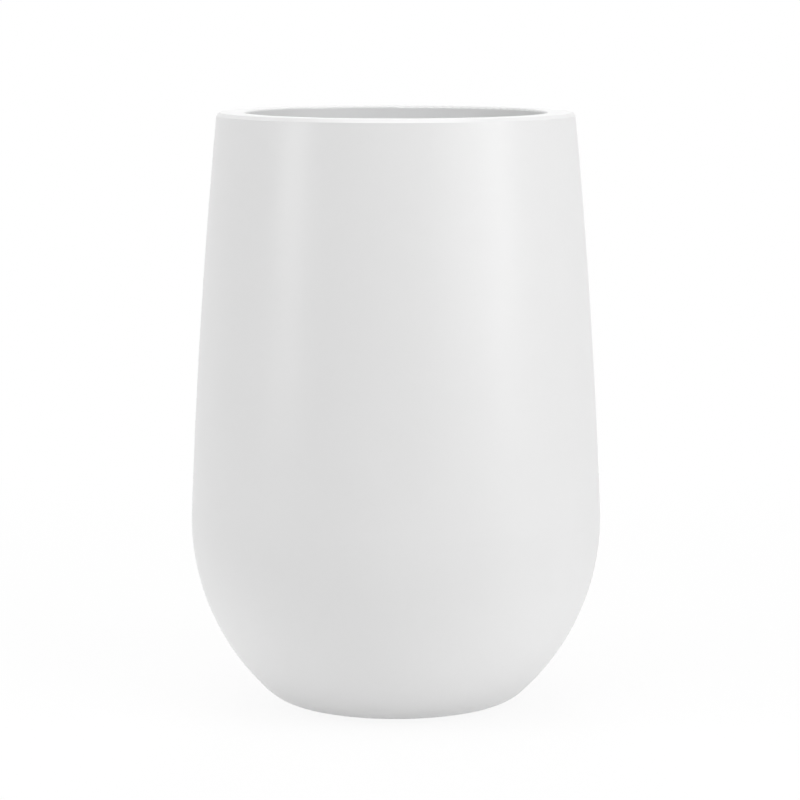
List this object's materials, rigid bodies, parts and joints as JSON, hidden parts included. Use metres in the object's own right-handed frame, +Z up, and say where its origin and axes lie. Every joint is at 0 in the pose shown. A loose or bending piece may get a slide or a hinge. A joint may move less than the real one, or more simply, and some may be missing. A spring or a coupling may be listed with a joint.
{
  "type": "floor planter",
  "caption": "Tall white plastic floor planter with a bulged round body, thick flat rim and soft round base, holding a lift-out planting liner with a water reservoir.",
  "frame": {"origin": "on the floor, on the planter's own axis, midway between the floor pads", "axes": "+Z up along the planter's axis; the picture looks along +Y, with +X to its right; the fill shaft stands on the +Y side"},
  "size_m": [0.4149, 0.415, 0.6],
  "materials": {
    "shell_plastic": "satin white, fine even moulded grain",
    "pad_rubber": "matt grey rubber",
    "plug_rubber": "matt black rubber",
    "liner_plastic": "natural white moulded plastic",
    "bail_plastic": "pale grey moulded plastic",
    "plate_plastic": "light grey moulded plastic",
    "tube_plastic": "light grey extruded plastic",
    "cap_plastic": "blue moulded plastic",
    "float_foam": "pale closed-cell foam",
    "marker_plastic": "red gloss",
    "window_plastic": "clear"
  },
  "bodies": {
    "shell": {"outer_shell": "shell_plastic", "mouth_collar": "shell_plastic", "seat_ring": "shell_plastic", "floor_pad_1": "pad_rubber", "floor_pad_2": "pad_rubber", "floor_pad_3": "pad_rubber", "floor_pad_4": "pad_rubber", "floor_pad_5": "pad_rubber", "floor_pad_6": "pad_rubber"},
    "liner": {"lip_ring": "liner_plastic", "liner": "liner_plastic", "reservoir_tray": "liner_plastic", "separator_plate": "plate_plastic", "wick_cup_1": "plate_plastic", "wick_cup_2": "plate_plastic", "wick_cup_3": "plate_plastic", "fill_shaft": "tube_plastic", "indicator_tube": "tube_plastic", "indicator_window": "window_plastic"},
    "front_bail": {"front_bail": "bail_plastic"},
    "rear_bail": {"rear_bail": "bail_plastic"},
    "fill_cap": {"fill_cap": "cap_plastic"},
    "float": {"indicator_float": "float_foam", "indicator_rod": "marker_plastic"},
    "drain_plug": {"drain_plug": "plug_rubber"}
  },
  "joints": [
    {"name": "liner_lift", "type": "slide", "parent": "shell", "child": "liner", "axis": [0, 0, 1], "range_m": [0, 0.33]},
    {"name": "front_bail_swing", "type": "hinge", "parent": "liner", "child": "front_bail", "pos_m": [0, -0.008, 0.5643], "axis": [-1, 0, 0], "range_deg": [0, 90]},
    {"name": "rear_bail_swing", "type": "hinge", "parent": "liner", "child": "rear_bail", "pos_m": [0, 0.008, 0.5643], "axis": [1, 0, 0], "range_deg": [0, 90]},
    {"name": "fill_cap_lift", "type": "slide", "parent": "liner", "child": "fill_cap", "axis": [0, 0, 1], "range_m": [0, 0.05]},
    {"name": "float_rise", "type": "slide", "parent": "liner", "child": "float", "axis": [0, 0, 1], "range_m": [0, 0.035]},
    {"name": "drain_plug_pull", "type": "slide", "parent": "shell", "child": "drain_plug", "axis": [0, 0, 1], "range_m": [0, 0.06]}
  ]
}
